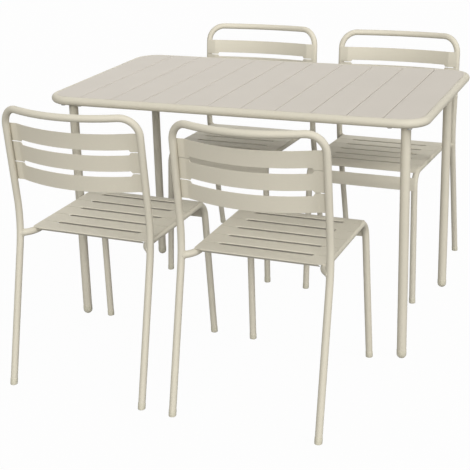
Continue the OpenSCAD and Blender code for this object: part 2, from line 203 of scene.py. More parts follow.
def chair_place(chair):
    """From a chair's own millimetres to the shared frame. The chair faces its own +Y, and its origin is on
    the floor, midway between its rear feet."""
    joint = next(j for j in frame["joints"] if j["child"] == f"chair_{chair}")
    forward = Vector(joint["axis"]).normalized()
    up = Vector((0, 0, 1))
    right = forward.cross(up)
    hoop = [v.co for v in frame["nodes"][f"back_hoop_{chair}"].data.vertices]
    ends = [point for point in hoop if point.z < 2 * FOOT_CAP_FLOOR * MM]
    start = tube_start(rear_foot(1), knee(1))
    origin = right * middle_along(hoop, right)
    origin += forward * (middle_along(ends, forward) - start.y * MM)
    turn = Matrix((right, forward, up)).transposed().to_4x4()
    return Matrix.Translation(origin) @ turn @ Matrix.Scale(MM, 4)


def rear_foot(side):
    return Vector((side * HOOP_X, 0, 0))


def knee(side):
    return Vector((side * HOOP_X, KNEE_Y, KNEE_H))


def hoop_corner(side):
    return Vector((side * HOOP_X, TOP_Y, BACK_H))


def hoop_middle():
    return Vector((0, TOP_Y - BOW_DEPTH * math.cos(BACK_LEAN), BACK_H - BOW_DEPTH * math.sin(BACK_LEAN)))


def front_foot(side):
    return Vector((side * (HOOP_X - FOOT_INSET), FOOT_FRONT_Y, 0))


def front_corner(side):
    return Vector((side * RAIL_X, SEAT_FRONT_Y, SEAT_RAIL_H))


def tube_start(foot, following):
    """Where a leg's tube starts, inside its foot cap."""
    return foot + (following - foot).normalized() * FOOT_CAP_FLOOR


def upright_y(z):
    """How far the axis of the upright stands in front of the rear foot at a height, round the knee's bend."""
    up = Vector((KNEE_Y, KNEE_H)).normalized()
    back = Vector((TOP_Y - KNEE_Y, BACK_H - KNEE_H)).normalized()
    half = up.angle(back) / 2
    trim = KNEE_R * math.tan(half)
    centre = Vector((KNEE_Y, KNEE_H)) + (back - up).normalized() * KNEE_R / math.cos(half)
    if z < KNEE_H - trim * up.y:
        return z * KNEE_Y / KNEE_H
    if z > KNEE_H + trim * back.y:
        return KNEE_Y + (z - KNEE_H) * back.x / back.y
    return centre.x + math.sqrt(KNEE_R**2 - (z - centre.y) ** 2)


STUB_Y = upright_y(STUB_Z)
REAR_CORNER_Y = STUB_Y + RAIL_INSET / math.tan(STUB_ANGLE)
SEAT_ANGLE = math.atan(SEAT_DROP / (SEAT_FRONT_Y - REAR_CORNER_Y))
FRONT_TURN = math.pi / 2 - math.atan((FOOT_FRONT_Y - SEAT_FRONT_Y) / SEAT_RAIL_H) + SEAT_ANGLE
FRONT_TRIM = FRONT_R * math.tan(FRONT_TURN / 2)
PLATE_X = RAIL_X + SLAT_OVER
SEAT_LIP_X = RAIL_X - TUBE_R - LIP_GAP
APRON_X = RAIL_X + APRON_OVER
SEAT_RUN = (SEAT_FRONT_Y - STUB_Y - SEAT_BACK_GAP) / math.cos(SEAT_ANGLE) - FRONT_TRIM
SEAT_PITCH = (SEAT_RUN - SLOT_FRONT + SLOT_W / 2) / FLAT_SLATS
APRON_START = WRAP_ANGLE + APRON_GAP / BEND_OUT_R
FOLD_X = HOOP_X - SLAT_FOLD
SLAT_BACK_R = (FOLD_X**2 + SLAT_BOW**2) / (2 * SLAT_BOW)


def rear_corner(side):
    return Vector((side * RAIL_X, REAR_CORNER_Y, STUB_Z))


def stub_joint(side):
    """Where the axis of the stub meets the axis of the upright."""
    return Vector((side * HOOP_X, STUB_Y, STUB_Z))


def back_place(chair):
    """From millimetres on a chair's back, from the knees up, to the shared frame."""
    origin = Matrix.Translation((0, KNEE_Y, KNEE_H))
    return chair_place(chair) @ origin @ Matrix.Rotation(BACK_LEAN, 4, "X")


def seat_place(chair):
    """From millimetres on a chair's seat, from where its rails meet the front bends, to the shared frame."""
    corner = Matrix.Translation((0, SEAT_FRONT_Y, SEAT_RAIL_H))
    bend = Matrix.Translation((0, -FRONT_TRIM, 0))
    return chair_place(chair) @ corner @ Matrix.Rotation(SEAT_ANGLE, 4, "X") @ bend


def leg_place(leg):
    """From millimetres round a table leg's axis to the shared frame, +X and +Y towards the table's edges."""
    x = -1 if leg in (1, 3) else 1
    y = -1 if leg in (1, 2) else 1
    return table_place() @ Matrix.Translation((x * LEG_X, y * LEG_Y, 0)) @ Matrix.Diagonal((x, y, 1, 1))


# ---- colours and nodes ----


def linear(code):
    """The linear colour of an sRGB hex code."""
    parts = [int(code[i : i + 2], 16) / 255 for i in (1, 3, 5)]
    return tuple(c / 12.92 if c <= 0.04045 else ((c + 0.055) / 1.055) ** 2.4 for c in parts)


# Distance between two nodes in the editor.
NODE_STEP = 180


def add(tree, kind, inputs=None, **settings):
    """Adds one node to a tree with its settings. An input is either a value or the socket that feeds it."""
    node = tree.nodes.new(kind)
    node.location.x = NODE_STEP * len(tree.nodes)
    for name, value in settings.items():
        setattr(node, name, value)
    for name, value in (inputs or {}).items():
        if isinstance(value, bpy.types.NodeSocket):
            tree.links.new(value, node.inputs[name])
        else:
            node.inputs[name].default_value = value
    return node


def maths(tree, operation, *values):
    """The result of one maths node."""
    return add(tree, "ShaderNodeMath", dict(enumerate(values)), operation=operation).outputs[0]


# ---- settings ----


def colour_setting(name, description, code):
    return FloatVectorProperty(
        name=name, description=description, subtype="COLOR", min=0, max=1, default=linear(code),
    )


def length_setting(name, description, low, high, default):
    return FloatProperty(
        name=name, description=description, unit="LENGTH", subtype="DISTANCE",
        min=low, max=high, default=default,
    )


def angle_setting(name, description, degrees):
    return FloatProperty(name=name, description=description, subtype="ANGLE", default=math.radians(degrees))


def share_setting(name, description, default):
    return FloatProperty(name=name, description=description, subtype="FACTOR", min=0, max=1, default=default)


def number_setting(kind, name, description, low, high, default):
    return kind(name=name, description=description, min=low, max=high, default=default)


class PatioFinish(bpy.types.PropertyGroup):
    """Colours and grain of the finishes."""

    frame_colour: colour_setting("Frame Coat", "Coat on the chairs, the rim and the legs", "#CCC6B5")
    top_colour: colour_setting("Top Coat", "Colour of the coat on the planks", "#C5BEB3")
    cap_colour: colour_setting("Foot Caps", "Colour of the moulded foot caps", "#C2BDAA")
    zinc_colour: colour_setting("Bolts", "Colour of the zinc plated bolts", "#A9A8A4")
    coat_grain: length_setting("Coat Grain", "Width of one grain of the powder coat", 0.0005, 0.01, 0.0024)
    coat_grain_depth: length_setting("Grain Depth", "Height of the grain over its hollows", 0, 0.001, 0.00006)
    coat_roughness: share_setting("Coat Roughness", "Roughness of the cured coat", 0.64)


class PatioDetails(bpy.types.PropertyGroup):
    """Sizes of the details that the frame leaves open."""

    tube_sides: number_setting(IntProperty, "Tube Sides", "Faces round a tube", 12, 64, 32)
    bend_points: number_setting(IntProperty, "Bend Steps", "Steps round each bend of a tube", 4, 48, 16)
    sheet_edge: length_setting("Sheet Edge", "Radius of the coated edge of a sheet", 0.0001, 0.0006, 0.0004)
    weld_width: length_setting("Weld Width", "Width of a bead between two tubes", 0.001, 0.008, 0.0042)
    tack_width: length_setting("Tack Width", "Width of a bead between sheet and tube", 0.001, 0.005, 0.0024)
    weld_ripple: length_setting("Weld Ripple", "Distance between a bead's ripples", 0.0005, 0.005, 0.0022)


class PatioStage(bpy.types.PropertyGroup):
    """The floor, the light and the camera."""

    camera_place: FloatVectorProperty(
        name="Camera", description="Place of the camera",
        subtype="TRANSLATION", unit="LENGTH", default=(1.2247, -3.2053, 1.5023),
    )
    camera_turn: angle_setting("Turn", "Turn of the camera from +Y towards -X", 22.1)
    camera_pitch: angle_setting("Pitch", "How far the camera looks down", 17.9)
    camera_roll: angle_setting("Roll", "Tilt of the camera round its view", -1.57)
    camera_lens: number_setting(FloatProperty, "Lens", "Millimetres on a 36 mm sensor", 20, 300, 86.6)
    camera_shift: number_setting(
        FloatProperty, "Shift", "Vertical shift of the lens, as a share of the frame", -1, 1, -0.085,
    )
    key_strength: number_setting(FloatProperty, "Key Light", "Soft light from the right", 0, 20, 1.35)
    front_strength: number_setting(FloatProperty, "Front Light", "Light from the front", 0, 20, 2.05)
    back_strength: number_setting(FloatProperty, "Back Light", "Light from the back", 0, 20, 0.5)
    sun_angle: angle_setting("Light Size", "Angle that each light fills, which softens its shadows", 35)
    fill_strength: number_setting(FloatProperty, "Fill Light", "Even light from all round", 0, 5, 0.42)
    floor_colour: colour_setting("Floor", "Colour of the floor", "#6A6866")
    floor_shade: share_setting("Floor Shade", "How much of the shadow the camera sees on the floor", 0.1)


# ---- materials ----


def grain(tree, place, width, **inputs):
    """Noise whose spots are about so wide, in metres."""
    values = {"Vector": place, "Scale": 1 / width, "Detail": 2.0, "Roughness": 0.5}
    return add(tree, "ShaderNodeTexNoise", values | inputs).outputs["Fac"]


# The part of its range that a noise mostly keeps to.
NOISE_LOW = 0.3
NOISE_HIGH = 0.7


def between(tree, value, low, high):
    """Turns the middle part of a noise value into the range from low to high."""
    inputs = {"Value": value, "From Min": NOISE_LOW, "From Max": NOISE_HIGH, "To Min": low, "To Max": high}
    return add(tree, "ShaderNodeMapRange", inputs).outputs["Result"]


def bare_tree(owner):
    """The empty node tree of a material or a world."""
    owner.use_nodes = True
    owner.node_tree.nodes.clear()
    return owner.node_tree


def new_material(name):
    """The tree of a new material, and the place on the object that its patterns follow."""
    tree = bare_tree(bpy.data.materials.new(name))
    return tree, add(tree, "ShaderNodeTexCoord").outputs["Object"]


def surface(tree, inputs):
    """Ends a material's tree with its one surface."""
    shader = add(tree, "ShaderNodeBsdfPrincipled", inputs)
    add(tree, "ShaderNodeOutputMaterial", {"Surface": shader.outputs["BSDF"]})


# In metres: the width of the drift in a part's brightness, of its finer mottle and of the slow wave in thin
# sheet, and the depth of that wave.
COAT_DRIFT = 0.16
COAT_SPECK = 0.006
SHEET_WAVE = 0.11
WAVE_DEPTH = 0.0001


def shade(tree, place, colour, wide, fine):
    """A colour with the slight drift in brightness of a sprayed or moulded part, and a finer one on it."""
    drift = between(tree, grain(tree, place, COAT_DRIFT), 1 - wide, 1 + wide)
    speck = between(tree, grain(tree, place, COAT_SPECK), 1 - fine, 1 + fine)
    both = maths(tree, "MULTIPLY", drift, speck)
    return add(tree, "ShaderNodeHueSaturation", {"Value": both, "Color": (*colour, 1)}).outputs["Color"]


def powder_coat(name, colour, wave):
    """Powder coat on steel, sprayed and baked: a matt, very slightly mottled skin with a fine orange peel
    that breaks up its broad, soft highlights. Thin sheet also keeps a slow wave from rolling and welding.
    A real grain is about 0.5 mm wide, too fine to show, so it is drawn as coarse as it needs to show."""
    settings = bpy.context.scene.patio_finish
    tree, place = new_material(name)
    peel = grain(tree, place, settings.coat_grain, Detail=3.0)
    skin = add(tree, "ShaderNodeBump", {"Height": peel, "Distance": settings.coat_grain_depth})
    if wave:
        slow = grain(tree, place, SHEET_WAVE, Detail=0.0)
        wavy = add(tree, "ShaderNodeBump", {"Height": slow, "Distance": wave})
        tree.links.new(wavy.outputs["Normal"], skin.inputs["Normal"])
    rough = settings.coat_roughness
    gloss = between(tree, grain(tree, place, COAT_SPECK), rough - 0.05, rough + 0.05)
    surface(tree, {
        "Base Color": shade(tree, place, colour, 0.012, 0.01),
        "Roughness": gloss,
        "IOR": 1.5,
        "Specular IOR Level": 0.35,
        "Normal": skin.outputs["Normal"],
    })


def moulded_polyethylene(name, colour):
    """Polyethylene, injection moulded: waxy, a little smoother than the coat, with the mould's faint flow."""
    tree, place = new_material(name)
    flow = grain(tree, place, 0.004, Distortion=0.6)
    skin = add(tree, "ShaderNodeBump", {"Height": flow, "Distance": 0.00003})
    surface(tree, {
        "Base Color": shade(tree, place, colour, 0.02, 0.015),
        "Roughness": between(tree, flow, 0.46, 0.58),
        "IOR": 1.51,
        "Specular IOR Level": 0.4,
        "Normal": skin.outputs["Normal"],
    })


def zinc_plated_steel(name, colour):
    """Zinc plated steel, cold formed and barrel plated: a dull metal gleam with small cloudy crystals."""
    tree, place = new_material(name)
    cloud = grain(tree, place, 0.003)
    surface(tree, {
        "Base Color": shade(tree, place, colour, 0.03, 0.05),
        "Metallic": 1.0,
        "Roughness": between(tree, cloud, 0.28, 0.44),
    })


TUBE = "powder coated tube"
SHEET = "powder coated sheet"
PLANK = "powder coated planks"
PLASTIC = "moulded polyethylene"
ZINC = "zinc plated steel"
# The slot of each finish, what makes it, the setting of its colour and, for a coat, the depth of its wave.
FINISHES = {
    TUBE: ("frame_coat", powder_coat, "frame_colour", 0),
    SHEET: ("frame_coat", powder_coat, "frame_colour", WAVE_DEPTH),
    PLANK: ("plank_coat", powder_coat, "top_colour", WAVE_DEPTH),
    PLASTIC: ("cap_plastic", moulded_polyethylene, "cap_colour"),
    ZINC: ("bolt_zinc", zinc_plated_steel, "zinc_colour"),
}


def finish(name):
    """A finish by name, made from the settings when it is first asked for."""
    if name not in bpy.data.materials:
        _, make, setting, *wave = FINISHES[name]
        make(name, getattr(bpy.context.scene.patio_finish, setting), *wave)
    return bpy.data.materials[name]


# ---- trees ----


def new_tree(name, inputs):
    """A Geometry Nodes tree with named inputs and one for the finish, and the sockets that give them."""
    tree = bpy.data.node_groups.new(name, "GeometryNodeTree")
    tree.interface.new_socket("Geometry", in_out="OUTPUT", socket_type="NodeSocketGeometry")
    tree.interface.new_socket("Geometry", in_out="INPUT", socket_type="NodeSocketGeometry")
    for label, (kind, default) in {**inputs, "Finish": ("Material", None)}.items():
        socket = tree.interface.new_socket(label, in_out="INPUT", socket_type=f"NodeSocket{kind}")
        if default is not None:
            socket.default_value = default
    return tree, add(tree, "NodeGroupInput").outputs


def end_tree(tree, shape, given):
    """Ends a tree: the shape is made real, shaded smooth and given its finish."""
    real = add(tree, "GeometryNodeRealizeInstances", {"Geometry": shape})
    smooth = add(tree, "GeometryNodeSetShadeSmooth", {"Geometry": real.outputs[0]})
    coated = add(tree, "GeometryNodeSetMaterial", {
        "Geometry": smooth.outputs[0], "Material": given["Finish"],
    })
    add(tree, "NodeGroupOutput", {"Geometry": coated.outputs[0]})
    return tree


def tube_tree():
    """Bends a path at its corners, each to its own radius, and sweeps a round tube along it."""
    tree, given = new_tree("bent tube", {
        "Diameter": ("Float", TUBE_D * MM),
        "Sides": ("Int", 32),
        "Bend Steps": ("Int", 16),
    })
    path = add(tree, "GeometryNodeMeshToCurve", {"Mesh": given["Geometry"]})
    radius = add(tree, "GeometryNodeInputNamedAttribute", {"Name": "bend"}, data_type="FLOAT")
    bent = add(tree, "GeometryNodeFilletCurve", {
        "Curve": path.outputs[0], "Count": given["Bend Steps"], "Radius": radius.outputs[0],
    }, mode="POLY")
    section = add(tree, "GeometryNodeCurvePrimitiveCircle", {
        "Resolution": given["Sides"], "Radius": maths(tree, "MULTIPLY", given["Diameter"], 0.5),
    })
    tube = add(tree, "GeometryNodeCurveToMesh", {
        "Curve": bent.outputs[0], "Profile Curve": section.outputs["Curve"], "Fill Caps": True,
    })
    return end_tree(tree, tube.outputs[0], given)


# Of a weld bead: the faces round it, the points along each ripple, and how suddenly it narrows at its ends.
BEAD_SIDES = 8
BEAD_POINTS = 4
BEAD_END_POWER = 10


def weld_tree():
    """Lays a rippled weld bead along paths. An open bead narrows at its ends."""
    tree, given = new_tree("weld bead", {
        "Width": ("Float", 0.004),
        "Ripple": ("Float", 0.002),
        "Ripple Depth": ("Float", 0.08),
        "End Narrowing": ("Float", 0.6),
    })
    path = add(tree, "GeometryNodeMeshToCurve", {"Mesh": given["Geometry"]})
    points = {"Curve": path.outputs[0], "Length": maths(tree, "DIVIDE", given["Ripple"], BEAD_POINTS)}
    even = add(tree, "GeometryNodeResampleCurve", points, mode="LENGTH")
    along = add(tree, "GeometryNodeSplineParameter")
    ripples = maths(tree, "DIVIDE", along.outputs["Length"], given["Ripple"])
    wave = maths(tree, "SINE", maths(tree, "MULTIPLY", ripples, 2 * math.pi))
    rippled = maths(tree, "MULTIPLY_ADD", wave, given["Ripple Depth"], 1.0)
    to_end = maths(tree, "ABSOLUTE", maths(tree, "MULTIPLY_ADD", along.outputs["Factor"], 2.0, -1.0))
    is_open = add(tree, "GeometryNodeInputNamedAttribute", {"Name": "open"}, data_type="FLOAT")
    narrow = maths(tree, "MULTIPLY", maths(tree, "POWER", to_end, BEAD_END_POWER), is_open.outputs[0])
    thinned = maths(tree, "SUBTRACT", 1.0, maths(tree, "MULTIPLY", narrow, given["End Narrowing"]))
    scale = maths(tree, "MULTIPLY", rippled, thinned)
    section = add(tree, "GeometryNodeCurvePrimitiveCircle", {
        "Resolution": BEAD_SIDES, "Radius": maths(tree, "MULTIPLY", given["Width"], 0.5),
    })
    bead = add(tree, "GeometryNodeCurveToMesh", {
        "Curve": even.outputs[0], "Profile Curve": section.outputs["Curve"],
        "Scale": scale, "Fill Caps": True,
    })
    return end_tree(tree, bead.outputs[0], given)


def row_tree():
    """Repeats a sheet in a row."""
    tree, given = new_tree("row of sheets", {"Count": ("Int", 4), "Step": ("Vector", (0.0, 0.0, 0.0))})
    places = add(tree, "GeometryNodeMeshLine", {"Count": given["Count"], "Offset": given["Step"]})
    row = add(tree, "GeometryNodeInstanceOnPoints", {
        "Points": places.outputs[0], "Instance": given["Geometry"],
    })
    return end_tree(tree, row.outputs[0], given)


def bolt_tree():
    """Sets a fastener at each point of a pattern."""
    tree, given = new_tree("fasteners", {"Fastener": ("Object", None)})
    fastener = add(tree, "GeometryNodeObjectInfo", {"Object": given["Fastener"]})
    bolts = add(tree, "GeometryNodeInstanceOnPoints", {
        "Points": given["Geometry"], "Instance": fastener.outputs["Geometry"],
    })
    return end_tree(tree, bolts.outputs[0], given)


def grown(name, make_tree, mesh, coat, **inputs):
    """Runs a tree on a mesh and gives the plain mesh object that comes out. Underscores in an input's name
    stand for spaces."""
    tree = bpy.data.node_groups.get(make_tree.__name__)
    if tree is None:
        tree = make_tree()
        tree.name = make_tree.__name__
    source = bpy.data.objects.new(name + "_source", mesh)
    bpy.context.scene.collection.objects.link(source)
    modifier = source.modifiers.new("shape", "NODES")
    modifier.node_group = tree
    sockets = {s.name: s.identifier for s in tree.interface.items_tree if s.in_out == "INPUT"}
    for label, value in {"Finish": finish(coat), **inputs}.items():
        modifier[sockets[label.replace("_", " ")]] = value
    graph = bpy.context.evaluated_depsgraph_get()
    made = bpy.data.meshes.new_from_object(source.evaluated_get(graph), depsgraph=graph)
    bpy.data.objects.remove(source)
    return new_object(name, made)


# ---- meshes ----


def new_object(name, mesh):
    """An object of a mesh, in the scene."""
    made = bpy.data.objects.new(name, mesh)
    bpy.context.scene.collection.objects.link(made)
    return made


def path_mesh(name, paths, values):
    """A mesh of paths for a tree. Each path is its points, whether it closes, and a value for each point."""
    mesh = bpy.data.meshes.new(name)
    points, edges, numbers = [], [], []
    for path, closed, value in paths:
        first = len(points)
        count = len(path)
        points += [tuple(point) for point in path]
        edges += [(first + i, first + (i + 1) % count) for i in range(count if closed else count - 1)]
        numbers += list(value)
    mesh.from_pydata(points, edges, [])
    mesh.attributes.new(values, "FLOAT", "POINT").data.foreach_set("value", numbers)
    return mesh


def sheet_mesh(name, columns, rows, place):
    """A mesh of one face of a sheet: a column of points for each item, at the rows that suit the item."""
    mesh = bpy.data.meshes.new(name)
    points = [place(column, row) for column in columns for row in rows(column)]
    count = len(points) // len(columns)
    starts = [i * count + j for i in range(len(columns) - 1) for j in range(count - 1)]
    mesh.from_pydata(points, [], [(a, a + count, a + count + 1, a + 1) for a in starts])
    return mesh


def spread(low, high, steps):
    """Even steps from low to high, both of them included."""
    return [low + (high - low) * i / steps for i in range(steps + 1)]


def both_sides(values):
    """The values and their mirror images, in order and without doubles."""
    return sorted({round(sign * value, 4) for value in values for sign in (-1, 1)})


def circle(radius, z):
    """A level ring round +Z, as a function from a turn to a point."""
    return lambda turn: Vector((radius * math.cos(turn), radius * math.sin(turn), z))


def joined(name, meshes):
    """One mesh of several, sewn together where their points meet."""
    shape = bmesh.new()
    for mesh in meshes:
        shape.from_mesh(mesh)
    bmesh.ops.remove_doubles(shape, verts=shape.verts, dist=0.001 * MM)
    made = bpy.data.meshes.new(name)
    shape.to_mesh(made)
    shape.free()
    return made


def turned(name, rings, sides=40):
    """A closed turned body, from a point to a point, through rings: functions from a turn to a point."""
    mesh = bpy.data.meshes.new(name)
    first, *middle, last = rings
    turns = [2 * math.pi * i / sides for i in range(sides)]
    points = [first] + [ring(turn) for ring in middle for turn in turns] + [last]
    faces = []
    end = len(points) - 1
    for i in range(sides):
        j = (i + 1) % sides
        faces.append((0, 1 + j, 1 + i))
        for k in range(len(middle) - 1):
            a, b = 1 + k * sides, 1 + (k + 1) * sides
            faces.append((a + i, a + j, b + j, b + i))
        faces.append((end, end - sides + i, end - sides + j))
    mesh.from_pydata([tuple(point) for point in points], [], faces)
    mesh.polygons.foreach_set("use_smooth", [True] * len(faces))
    mesh.set_sharp_from_angle(angle=math.radians(50))
    return mesh


# How far a piece's box may lie from the box of the nodes that it stands for, in millimetres.
BOX_SLACK = 1.5


def stands_for(piece, nodes):
    """Puts a piece in the place of CAD nodes, after a check that it fills the same box."""
    graph = bpy.context.evaluated_depsgraph_get()
    mesh = piece.evaluated_get(graph).to_mesh()
    made = [v.co for v in mesh.vertices]
    drawn = [v.co for node in nodes for v in frame["nodes"][node].data.vertices]
    for axis in range(3):
        for pick in (min, max):
            gap = pick(p[axis] for p in made) - pick(p[axis] for p in drawn)
            if abs(gap) > BOX_SLACK * MM:
                raise ValueError(f"{piece.name} is {gap / MM:.2f} mm off {nodes} on axis {axis}")
    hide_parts(*nodes)


def cover(mesh, coat):
    """Gives a whole mesh one finish."""
    mesh.materials.clear()
    mesh.materials.append(finish(coat))


def settle(piece, body, coat, nodes=()):
    """Gives a piece its finish and its body, and the nodes that it stands for."""
    cover(piece.data, coat)
    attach(piece, body)
    if nodes:
        stands_for(piece, nodes)


# From which angle an edge counts as sharp, in degrees, on a plate and on sheet, which is also folded.
SHARP = 30
SHARP_SHEET = 40
# The most of a sheet's thickness that one of its rounded edges takes.
EDGE_SHARE = 0.3


def soften(piece, width, angle):
    """Rounds a piece's edges that are sharper than an angle."""
    edge = piece.modifiers.new("edges", "BEVEL")
    edge.width = width
    edge.segments = 2
    edge.limit_method = "ANGLE"
    edge.angle_limit = math.radians(angle)
    return edge


def make_sheet(piece, thickness):
    """Gives a one-sided sheet its thickness, against the way its face points, and its soft edges."""
    piece.data.polygons.foreach_set("use_smooth", [True] * len(piece.data.polygons))
    solid = piece.modifiers.new("thickness", "SOLIDIFY")
    solid.thickness = thickness * MM
    solid.offset = -1
    solid.use_even_offset = True
    width = min(bpy.context.scene.patio_details.sheet_edge, EDGE_SHARE * thickness * MM)
    soften(piece, width, SHARP_SHEET).harden_normals = True


def make_tube(name, body, corners, bends, place, diameter, nodes, closed=False):
    """A bent tube through corners, in millimetres, each with the radius of its bend."""
    details = bpy.context.scene.patio_details
    path = [place @ corner for corner in corners]
    mesh = path_mesh(name, [(path, closed, [bend * MM for bend in bends])], "bend")
    piece = grown(
        name, tube_tree, mesh, TUBE,
        Diameter=diameter * MM, Sides=details.tube_sides, Bend_Steps=details.bend_points,
    )
    settle(piece, body, TUBE, nodes)


# ---- operators: the table ----


class PatioOperator:
    """What all operators of the set share."""

    bl_options = {"REGISTER", "UNDO"}


class PATIO_OT_table_tubes(PatioOperator, bpy.types.Operator):
    """Make the rim of the top, and the legs with the flanges that they are bolted by"""

    bl_idname = "patio.table_tubes"
    bl_label = "Rim and Table Legs"

    def execute(self, context):
        x, y = TABLE_L / 2 - RIM_R, TABLE_W / 2 - RIM_R
        corners = [Vector((side * x, end * y, RIM_Z)) for side, end in CORNERS]
        bend = RIM_CORNER - RIM_R
        make_tube("rim_tube", "table", corners, [bend] * 4, table_place(), RIM_D, ["top_rim"], closed=True)
        for leg in LEGS:
            ends = [Vector((0, 0, LEG_CAP_FLOOR)), Vector((0, 0, FLANGE_Z))]
            make_tube(f"leg_tube_{leg}", "table", ends, [0, 0], leg_place(leg), LEG_D, [])
            self.flange(leg)
        return {"FINISHED"}

    def flange(self, leg):
        """The plate on top of a leg, with rounded corners and softened edges."""
        shape = bmesh.new()
        reach = FLANGE_W / 2 - FLANGE_CORNER
        rounding = circle(FLANGE_CORNER, 0)
        steps = 32
        outline = []
        for i in range(steps):
            edge = rounding(2 * math.pi * (i + 0.5) / steps)
            edge += Vector((math.copysign(reach, edge.x), math.copysign(reach, edge.y), 0))
            outline.append(shape.verts.new(leg_place(leg) @ (FLANGE_MIDDLE + edge)))
        bottom = shape.faces.new(outline)
        raised = bmesh.ops.extrude_face_region(shape, geom=[bottom])["geom"]
        lift = Vector((0, 0, FLANGE_T * MM))
        bmesh.ops.translate(shape, vec=lift, verts=[v for v in raised if isinstance(v, bmesh.types.BMVert)])
        bmesh.ops.recalc_face_normals(shape, faces=shape.faces)
        mesh = bpy.data.meshes.new(f"leg_flange_{leg}")
        shape.to_mesh(mesh)
        shape.free()
        piece = new_object(f"leg_flange_{leg}", mesh)
        soften(piece, FLANGE_EDGE * MM, SHARP)
        settle(piece, "table", TUBE)
        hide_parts(f"table_leg_{leg}")


# Outer radius of a plank's folds, and the gap between their ends and the rim's tube, in millimetres.
FOLD_R = 1.3
RIM_CLEAR = 0.5


class PATIO_OT_planks(PatioOperator, bpy.types.Operator):
    """Make the folded planks of the top"""

    bl_idname = "patio.planks"
    bl_label = "Planks"

    def execute(self, context):
        width = PLANK_PITCH - PLANK_GAP
        middle = self.face("planks", 1, -width / 2, width / 2)
        second = 1.5 * PLANK_PITCH - PLANK_COUNT * PLANK_PITCH / 2
        for vertex in middle.vertices:
            vertex.co.x += second * MM
        planks = grown(
            "planks_between", row_tree, middle, PLANK,
            Count=PLANK_COUNT - 2, Step=(PLANK_PITCH * MM, 0, 0),
        )
        make_sheet(planks, PLANK_T)
        settle(planks, "table", PLANK, [f"plank_{k}" for k in range(2, PLANK_COUNT)])
        for name, k, side in (("plank_left", 1, -1), ("plank_right", PLANK_COUNT, 1)):
            end = TABLE_L / 2 - PLANK_INSET
            face = self.face(name, side, end - PLANK_PITCH + PLANK_GAP / 2, end, rounded=True)
            plank = new_object(name, face)
            make_sheet(plank, PLANK_T)
            settle(plank, "table", PLANK, [f"plank_{k}"])
        return {"FINISHED"}

    def face(self, name, side, inner, outer, rounded=False):
        """The outer face of a plank from x to x, with its long edges folded down. The outer edge of an end
        plank isn't folded, follows the corners of the rim, and has a stiffening strip under it."""
        place = table_place()
        half_top = TABLE_W / 2 - PLANK_INSET

        def reach(z):
            """Half the plank's length at a height under the top: its folds end along the rim's tube."""
            return half_top if z > -PLANK_T else TABLE_W / 2 - rim_inside(TABLE_H + z) - RIM_CLEAR

        fold = [(inner, z) for z in spread(-PLANK_T - PLANK_FOLD, -FOLD_R, 6)]
        fold += [
            (inner + FOLD_R * (1 - math.cos(turn)), FOLD_R * (math.sin(turn) - 1))
            for turn in spread(0, math.pi / 2, 4)[1:]
        ]
        profile = [(x, z, reach(z)) for x, z in fold]
        radius = RIM_CORNER - PLANK_INSET
        flat_end = outer - (radius if rounded else FOLD_R)
        profile += [(x, 0, half_top) for x in spread(inner + FOLD_R, flat_end, 8)[1:-1]]
        if rounded:
            for turn in spread(0, math.pi / 2, 16):
                x = outer - radius * (1 - math.sin(turn))
                profile.append((x, 0, half_top - radius * (1 - math.cos(turn))))
        else:
            profile += [(inner + outer - x, z, reach(z)) for x, z in reversed(fold)]
        if side < 0:
            profile = [(-x, z, half) for x, z, half in reversed(profile)]

        mesh = sheet_mesh(
            name, profile, lambda column: spread(-column[2], column[2], 24),
            lambda column, y: place @ Vector((column[0], y, TABLE_H + column[1])),
        )
        if not rounded:
            return mesh
        strip_x = TABLE_L / 2 - FOLD_INSET
        strip_y = TABLE_W / 2 - RIM_CORNER
        strip = sheet_mesh(
            name + "_strip", [-PLANK_T - PLANK_FOLD, -PLANK_T],
            lambda z: spread(strip_y * side, -strip_y * side, 12),
            lambda z, y: place @ Vector((side * strip_x, y, TABLE_H + z)),
        )
        return joined(name, [mesh, strip])


class PATIO_OT_under_top(PatioOperator, bpy.types.Operator):
    """Coat the rails and the corner plates under the top"""

    bl_idname = "patio.under_top"
    bl_label = "Rails and Corner Plates"

    def execute(self, context):
        for node in ["under_rail_front", "under_rail_rear"] + [f"corner_plate_{leg}" for leg in LEGS]:
            cover(frame["nodes"][node].data, TUBE)
        return {"FINISHED"}


# Of a leg bolt, in millimetres: how far it reaches through the corner plate, the chamfer at its end, the
# radius over its head's corners, the height of the head, its chamfer and the height of the cone in that, and
# the height of the pressed washer face.
BOLT_OVER = 3
END_CHAMFER = 1
HEAD_R = 1.85 * BOLT_D / 2
HEAD_H = 0.65 * BOLT_D
HEAD_CHAMFER = 0.9
CONE_H = 0.2
WASHER_H = 0.6


